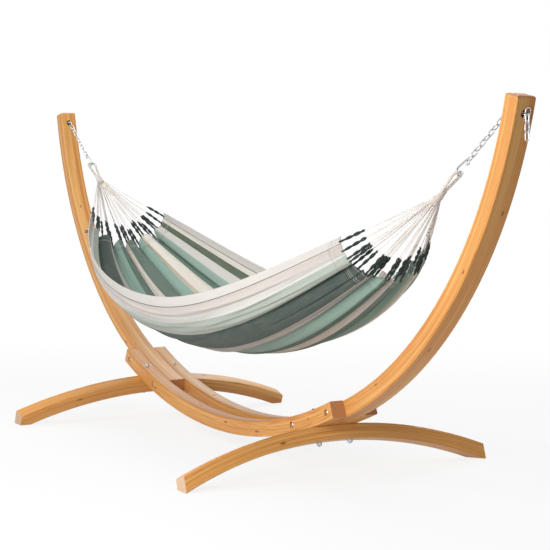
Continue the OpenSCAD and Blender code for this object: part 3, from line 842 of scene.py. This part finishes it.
def loopPlaces():  # each loop's number, a half step aside where two loops share a place
    aside = cords["pairGap"] / 2 / (cords["hemHalf"] * 2 / bed["loops"])
    places = []
    for i in range(bed["loops"]):
        places.extend((i - aside, i + aside) if abs(loopV(i)) < cords["pairedTo"] else (i,))
    return places


def loopWay(i, side):  # worked out as if at the right end
    start = clothPoint(side * hemEnd(loopV(i)), loopV(i))
    start.x *= side
    way = (fanPoint(i) - start).normalized()
    return start - way * cords["buried"], way


def loopStrands(i, side):
    start, way = loopWay(i, side)
    first, second = squareTo(way)
    length = bed["loopLength"] + cords["buried"]
    runs = []
    lean = random.uniform(0, math.pi)
    for strand in (0, 1):
        run = []
        for step in range(49):
            share = step / 48
            turn = 2 * math.pi * cords["twist"] * share + lean + strand * math.pi
            swell = 0.30 + 0.70 * smooth(share, 0.0, 0.55) - 0.60 * smooth(share, 0.90, 1.0)
            outwards = math.cos(turn) * first + math.sin(turn) * second
            run.append(start + way * (length * share) + cords["spread"] * swell * outwards)
        runs.append(mirrored(run, side))
    return runs


def cordRuns(i, side):
    start, way = loopWay(i, side)
    end = start + way * (bed["loopLength"] + cords["pastLoop"])
    first, second = squareTo(way)
    runs = []
    for k in range(cords["perLoop"]):
        slide = (k - (cords["perLoop"] - 1) / 2) * cords["slide"]
        goal = fanPoint(min(bed["loops"] - 1.0, max(0.0, i + slide)))
        spin = 2 * math.pi * k / cords["perLoop"] + i
        offset = cords["aside"] * (math.cos(spin) * first + math.sin(spin) * second)
        bow = random.uniform(-cords["bow"], cords["bow"])
        run = [end - way * cords["buried"] + offset * 0.4]
        for step in range(15):
            share = step / 14
            middle = math.sin(math.pi * share)
            sag = Vector((0.0, 0.0, -cords["sag"])) * middle + offset * middle + first * bow * middle
            run.append(end.lerp(goal, share) + sag)
        run.append(goal - pullWay * cords["intoNeck"])
        runs.append(mirrored(run, side))
    return runs


def ropeFinish(name, shade, shadow, coarse):
    finish = Finish(name, Sheen_Weight=0.2, Specular_IOR_Level=0.2)
    x, y, z = finish.place()
    spot = finish.vector(x, y, z)
    fuzz = finish.noise(spot, scale=coarse, detail=3.0)
    patch = finish.noise(spot, scale=60.0)
    tone = finish.mix(fuzz.ramp(0.25, 0.60), shadow, shade)
    finish.feed("Base Color", finish.mix(patch.ramp(0.5, 0.8) * 0.15, tone, shadow))
    finish.feed("Roughness", fuzz * 0.15 + 0.78)
    finish.bump(fuzz, 0.3, 0.0004)
    return finish.material


creamRope = ropeFinish("cream cotton cord", cords["cream"], cords["creamShadow"], 500.0)
darkLoop = ropeFinish("dark green cord", cords["dark"], cords["darkShadow"], 700.0)


def onPull(along, across=0.0, up=0.0):  # along the pull from the chain's start
    spot = onLine(chainStart) + pullWay * along
    return spot + Vector((0.0, -across, 0.0)) + Vector((pullWay.z, 0.0, -pullWay.x)) * up


def eyePath():  # up one leg, round the hook and down the other leg, as places along and across the pull
    rope = cords["eyeCore"] + 2 * cords["eyeWrap"]
    radius = line["hookWire"] / 2 + line["linkGap"] + line["ropeThickness"] - rope / 2
    middle = eyeAt - line["linkGap"] - rope / 2 + radius
    legEnd = rope / 2 + cords["legGap"]
    foot = neckAt + cords["buried"]
    steps = cords["eyeSteps"]
    points = []
    for step in range(steps + 1):
        share = step / steps
        points.append((foot - (foot - middle) * share, legEnd + (radius - legEnd) * share))
    for step in range(1, steps):
        turn = math.pi / 2 + math.pi * step / steps
        points.append((middle + radius * math.cos(turn), radius * math.sin(turn)))
    for step in range(steps + 1):
        share = step / steps
        points.append((middle + (foot - middle) * share, -radius + (radius - legEnd) * share))
    return points


def wound(path, radius, pitch, turnSteps=14, flat=1.0, taper=0.0):  # a cord wound round a path
    lengths = [0.0]
    for (x0, y0), (x1, y1) in zip(path, path[1:]):
        lengths.append(lengths[-1] + math.hypot(x1 - x0, y1 - y0))
    count = int(lengths[-1] / pitch * turnSteps)
    run = []
    leg = 0
    for step in range(count + 1):
        at = lengths[-1] * step / count
        while leg < len(path) - 2 and lengths[leg + 1] < at:
            leg += 1
        share = (at - lengths[leg]) / (lengths[leg + 1] - lengths[leg])
        (x0, y0), (x1, y1) = path[leg], path[leg + 1]
        size = math.hypot(x1 - x0, y1 - y0)
        turn = 2 * math.pi * step / turnSteps
        reach = radius * (1 - taper * step / count)
        side, up = reach * math.cos(turn), reach * flat * math.sin(turn)
        along = x0 + (x1 - x0) * share - (y1 - y0) / size * side
        run.append(onPull(along, y0 + (y1 - y0) * share + (x1 - x0) / size * side, up))
    return run


def neckMesh(name, side):  # the bundled cords under the whipping, flattened and narrower at the eye
    bm = bmesh.new()
    bmesh.ops.create_cone(
        bm, cap_ends=True, segments=40, depth=line["neckLength"],
        radius1=line["neckDiameter"] / 2 * cords["neckNarrow"] - cords["coreInset"],
        radius2=line["neckDiameter"] / 2 * cords["neckWide"] - cords["coreInset"],
    )
    rims = [edge for edge in bm.edges if abs(edge.verts[0].co.z - edge.verts[1].co.z) < 1e-6]
    bmesh.ops.bevel(
        bm, geom=rims, offset=cords["coreRounding"], offset_type="OFFSET", affect="EDGES", segments=4,
        profile=0.5, material=-1,
    )
    bmesh.ops.scale(bm, vec=(cords["neckFlat"], 1.0, 1.0), verts=bm.verts)
    way = Vector((pullWay.x * side, 0.0, pullWay.z))
    turned = Matrix((way.cross(Vector((0, 1, 0))), (0, 1, 0), way)).transposed().to_4x4()
    if turned.determinant() < 0:
        bmesh.ops.reverse_faces(bm, faces=bm.faces)
    middle = onPull(neckAt + line["neckLength"] / 2)
    seat = Matrix.Translation((middle.x * side, 0.0, middle.z))
    bmesh.ops.transform(bm, matrix=seat @ turned, verts=bm.verts)
    return meshFrom(bm, name)


eye = eyePath()
eyeWrap = wound(eye, cords["eyeCore"] / 2 + cords["wrapProud"], cords["wrapPitch"])
whipping = wound(
    [(neckAt + cords["whipInset"], 0.0), (neckAt + line["neckLength"] - cords["whipInset"], 0.0)],
    line["neckDiameter"] / 2 * cords["neckNarrow"] - cords["whipInside"], cords["whipPitch"],
    turnSteps=36, flat=cords["neckFlat"], taper=1 - 1 / cords["neckNarrow"] * cords["neckWide"],
)
for word, side in (("Left", -1), ("Right", 1)):
    low = word.lower()
    cordPiece(
        "hemLoops" + word, [run for place in loopPlaces() for run in loopStrands(place, side)],
        cords["strand"], darkLoop, "hem_loops_" + low, sides=2,
    )
    cordPiece(
        "suspensionCords" + word, [run for place in loopPlaces() for run in cordRuns(place, side)],
        cords["thickness"], creamRope, "suspension_cords_" + low, sides=1,
    )
    cordPiece(
        "ropeEyeCore" + word, [mirrored([onPull(*place) for place in eye], side)],
        cords["eyeCore"], creamRope, "rope_eye_" + low, sides=4,
    )
    cordPiece(
        "ropeEyeWrap" + word, [mirrored(eyeWrap, side)],
        cords["eyeWrap"], creamRope, "rope_eye_" + low, sides=1,
    )
    cordPiece(
        "neckWhipping" + word, [mirrored(whipping, side)],
        cords["whipping"], creamRope, "neck_whipping_" + low, sides=1,
    )
    name = "neckCore" + word
    finished(name, neckMesh(name, side), creamRope, "neck_whipping_" + low)
print("ropes and cords tied")


tab = {
    "width": 0.026,
    "reach": 0.015,
    "sewnUnder": 0.003,  # more of it, under the border
    "thickness": 0.0018,
    "rounding": 0.0005,
    "place": 0.9,  # along the bed's left half
    "tucked": 0.001,  # of its reach, into the border
    "lower": 0.0035,  # than the border's edge
    "droop": 0.0025,
    "rib": 0.0006,
    "shade": colour(78, 80, 82),
    "fuzz": colour(104, 106, 108),
}


def tabMesh(name):
    spot = clothPoint(-tab["place"] * hemT, -1)
    ahead = (clothPoint(-tab["place"] * hemT + 0.002, -1) - spot).normalized()
    level = Vector((ahead.x, ahead.y, 0)).normalized()
    sideways = Vector((level.y, -level.x, 0.0))
    bm = bmesh.new()
    bmesh.ops.create_cube(bm, size=1.0)
    size = tab["width"], tab["reach"] + tab["sewnUnder"], tab["thickness"]
    bmesh.ops.scale(bm, vec=size, verts=bm.verts)
    bmesh.ops.subdivide_edges(bm, edges=bm.edges, cuts=3, use_grid_fill=True)
    corners = [edge for edge in bm.edges if edge.calc_face_angle(0) > 0.5]
    bmesh.ops.bevel(
        bm, geom=corners, offset=tab["rounding"], offset_type="OFFSET", affect="EDGES", segments=2,
        profile=0.5, material=-1,
    )
    for vert in bm.verts:
        vert.co.z -= tab["droop"] * (0.5 - vert.co.y / tab["reach"]) ** 2
    up = ahead.cross(-sideways).normalized()
    middle = spot + sideways * (tab["reach"] / 2 - tab["tucked"]) - Vector((0, 0, tab["lower"]))
    turned = Matrix((ahead, -sideways, up)).transposed().to_4x4()
    bmesh.ops.transform(bm, matrix=Matrix.Translation(middle) @ turned, verts=bm.verts)
    bmesh.ops.recalc_face_normals(bm, faces=bm.faces)
    return meshFrom(bm, name)


def tabFinish(name):
    finish = Finish(name, Sheen_Weight=0.2, Specular_IOR_Level=0.25)
    x, y, z = finish.place()
    ribs = ((x + y * 0.3) / tab["rib"] * math.pi).sin()
    fuzz = finish.noise(finish.vector(x, y, z), scale=800.0)
    finish.feed("Base Color", finish.mix(fuzz, tab["shade"], tab["fuzz"]))
    finish.feed("Roughness", fuzz * 0.2 + 0.7)
    finish.bump(ribs * 0.5 + fuzz, 0.4, 0.0003)
    return finish.material


sideTab = finished("sideTab", tabMesh("sideTab"), tabFinish("woven tab"), "side_tab")

2 * sheetV * halfArc


studio = {
    "floor": 0.78,
    "floorSize": 60.0,
    "under": 0.0005,  # the floor's depth below the feet
    "shown": 0.84,  # how much of the floor's white is plain near the stand
    "plainFrom": (1.6, 3.4),  # the floor turns plain between these distances
    "world": 0.12,
    "camera": (5.1074, -2.8699, 1.0843),
    "yaw": 1.0353,
    "pitch": 0.0783,
    "roll": 0.0072,
    "lens": 102.8,
}

# each softbox's place, the spot that it faces, its size and its power
lamps = {
    "key light": ((1.9, -2.7, 1.2), (0.4, 0.0, 0.4), (1.6, 1.4), 74.0),
    "fill light": ((-0.8, -2.5, 2.9), (-0.3, 0.0, 0.6), (2.0, 1.6), 50.0),
    "back light": ((-2.4, 2.4, 2.4), (0.2, 0.0, 0.3), (2.4, 1.4), 48.0),
    "top light": ((0.0, 0.6, 5.2), (0.0, 0.0, 0.4), (5.0, 3.0), 122.0),
}


def bareRay(graph):  # 1 where the background itself is seen, also by way of metal
    rays = ("Is Camera Ray", "Is Glossy Ray", "Is Transmission Ray")
    straight, glossy, through = graph.node("ShaderNodeLightPath", out=rays)
    return straight.most(glossy).most(through)


def floorFinish():
    shade = (studio["floor"], studio["floor"], studio["floor"], 1.0)
    finish = Finish("studio floor", Base_Color=shade, Roughness=0.9, Specular_IOR_Level=0.1)
    x, y, _ = finish.place()
    away = (x * x + y * y).math("SQRT").ramp(*studio["plainFrom"])
    plain = bareRay(finish) * (away * (1 - studio["shown"]) + studio["shown"])
    glow = finish.node("ShaderNodeEmission", inputs={"Strength": 1.0})
    lit = Wire(finish, finish.shader.outputs["BSDF"])
    surface = finish.node("ShaderNodeMixShader", inputs={0: plain, 1: lit, 2: glow})
    finish.join(finish.tree.nodes["Material Output"].inputs["Surface"], surface)
    return finish.material


bm = bmesh.new()
bmesh.ops.create_grid(bm, x_segments=1, y_segments=1, size=studio["floorSize"])
bmesh.ops.translate(bm, vec=(0, 0, -studio["under"]), verts=bm.verts)
floor = added("floor", meshFrom(bm, "floor"))
floor.data.materials.append(floorFinish())


def softbox(name, place, target, size, power):
    lamp = bpy.data.lights.new(name, "AREA")
    lamp.shape = "RECTANGLE"
    lamp.size, lamp.size_y = size
    lamp.energy = power
    holder = added(name, lamp)
    holder.location = place
    holder.rotation_euler = (Vector(target) - Vector(place)).to_track_quat("-Z", "Y").to_euler()


for name, look in lamps.items():
    softbox(name, *look)

world = bpy.data.worlds.new("studio")
bpy.context.scene.world = world
world.use_nodes = True
sky = Graph(world.node_tree)
background = sky.tree.nodes["Background"].inputs
sky.join(background["Color"], (1, 1, 1, 1))
sky.join(background["Strength"], bareRay(sky) * (1 - studio["world"]) + studio["world"])

yaw, pitch, roll = studio["yaw"], studio["pitch"], studio["roll"]
ahead = Vector((-math.sin(yaw) * math.cos(pitch), math.cos(yaw) * math.cos(pitch), -math.sin(pitch)))
level = ahead.cross(Vector((0, 0, 1))).normalized()
upright = level.cross(ahead)
right = level * math.cos(roll) + upright * math.sin(roll)
up = upright * math.cos(roll) - level * math.sin(roll)
turned = Matrix((right, up, -ahead)).transposed().to_4x4()
camera = added("camera", bpy.data.cameras.new("camera"))
camera.data.lens = studio["lens"]
camera.data.sensor_width = 36.0
camera.matrix_world = Matrix.Translation(studio["camera"]) @ turned
bpy.context.scene.camera = camera
bpy.context.scene.view_settings.view_transform = "Standard"
print("studio set")
